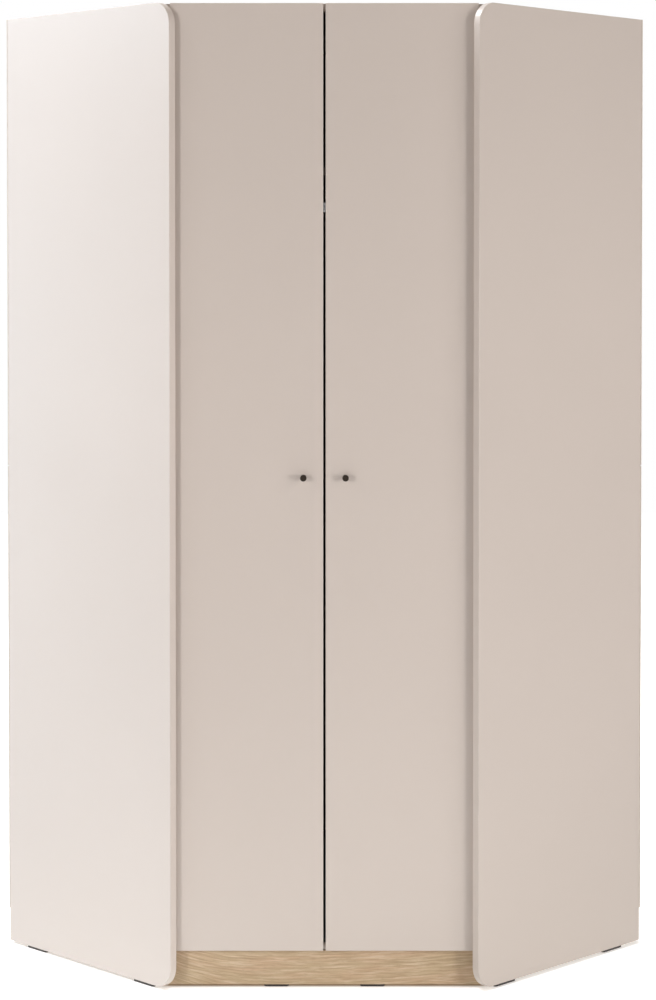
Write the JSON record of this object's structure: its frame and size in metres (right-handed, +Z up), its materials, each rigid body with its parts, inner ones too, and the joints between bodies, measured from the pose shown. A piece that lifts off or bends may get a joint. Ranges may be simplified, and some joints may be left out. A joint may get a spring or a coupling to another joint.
{
  "type": "corner wardrobe",
  "caption": "Tall corner wardrobe with hinged doors across its slanted front, round-cornered side panels, a recessed plinth, and a hat shelf and hanging rail inside.",
  "frame": {"origin": "on the floor, under the middle of the outer box", "axes": "+Z up, +Y towards the corner of the room, doors facing -Y, +X to the right of a person who faces the doors"},
  "size_m": [1.3718, 1.0606, 2],
  "materials": {
    "satin_cashmere": "warm cashmere beige satin lacquer on board",
    "natural_oak": "light natural oak veneer, matt",
    "cashmere_melamine": "cashmere beige melamine with edge banding",
    "hardboard": "thin hardboard, painted pale on the inside",
    "black_plastic": "black plastic glides",
    "pale_plastic": "pale extruded or moulded plastic",
    "dark_bronze": "dark bronze satin metal",
    "chromed_tube": "chromed steel tube",
    "nickel_steel": "nickel-plated pressed steel"
  },
  "bodies": {
    "carcass": {"left_side_panel": "satin_cashmere", "right_side_panel": "satin_cashmere", "top_panel": "cashmere_melamine", "bottom_panel": "cashmere_melamine", "hat_shelf": "cashmere_melamine", "plinth_board": "natural_oak", "plinth_bracket": "nickel_steel", "left_corner_board": "cashmere_melamine", "right_corner_board": "cashmere_melamine", "left_upper_back": "hardboard", "left_lower_back": "hardboard", "right_upper_back": "hardboard", "right_lower_back": "hardboard", "left_back_joint_strip": "pale_plastic", "right_back_joint_strip": "pale_plastic", "hanging_rail": "chromed_tube", "left_rail_socket": "nickel_steel", "right_rail_socket": "nickel_steel", "left_panel_front_glide": "black_plastic", "left_panel_rear_glide": "black_plastic", "right_panel_front_glide": "black_plastic", "right_panel_rear_glide": "black_plastic", "left_plinth_glide": "black_plastic", "right_plinth_glide": "black_plastic", "left_corner_glide": "black_plastic", "right_corner_glide": "black_plastic", "left_wall_bracket": "nickel_steel", "right_wall_bracket": "nickel_steel", "left_door_buffer": "pale_plastic", "right_door_buffer": "pale_plastic", "left_hinge_arm_1": "nickel_steel", "left_hinge_arm_2": "nickel_steel", "left_hinge_arm_3": "nickel_steel", "left_hinge_arm_4": "nickel_steel", "left_hinge_pin_1": "nickel_steel", "left_hinge_pin_2": "nickel_steel", "left_hinge_pin_3": "nickel_steel", "left_hinge_pin_4": "nickel_steel", "right_hinge_arm_1": "nickel_steel", "right_hinge_arm_2": "nickel_steel", "right_hinge_arm_3": "nickel_steel", "right_hinge_arm_4": "nickel_steel", "right_hinge_pin_1": "nickel_steel", "right_hinge_pin_2": "nickel_steel", "right_hinge_pin_3": "nickel_steel", "right_hinge_pin_4": "nickel_steel"},
    "left_door_leaf": {"left_door": "satin_cashmere", "left_knob": "dark_bronze", "left_knob_screw": "nickel_steel", "left_hinge_cup_1": "nickel_steel", "left_hinge_cup_2": "nickel_steel", "left_hinge_cup_3": "nickel_steel", "left_hinge_cup_4": "nickel_steel"},
    "right_door_leaf": {"right_door": "satin_cashmere", "right_knob": "dark_bronze", "right_knob_screw": "nickel_steel", "right_hinge_cup_1": "nickel_steel", "right_hinge_cup_2": "nickel_steel", "right_hinge_cup_3": "nickel_steel", "right_hinge_cup_4": "nickel_steel"}
  },
  "joints": [
    {"name": "left_door_hinge", "type": "hinge", "parent": "carcass", "child": "left_door_leaf", "pos_m": [-0.29061, -0.49652, 1.04], "axis": [0, 0, -1], "range_deg": [0, 90]},
    {"name": "right_door_hinge", "type": "hinge", "parent": "carcass", "child": "right_door_leaf", "pos_m": [0.29061, -0.49652, 1.04], "axis": [0, 0, 1], "range_deg": [0, 90]}
  ]
}
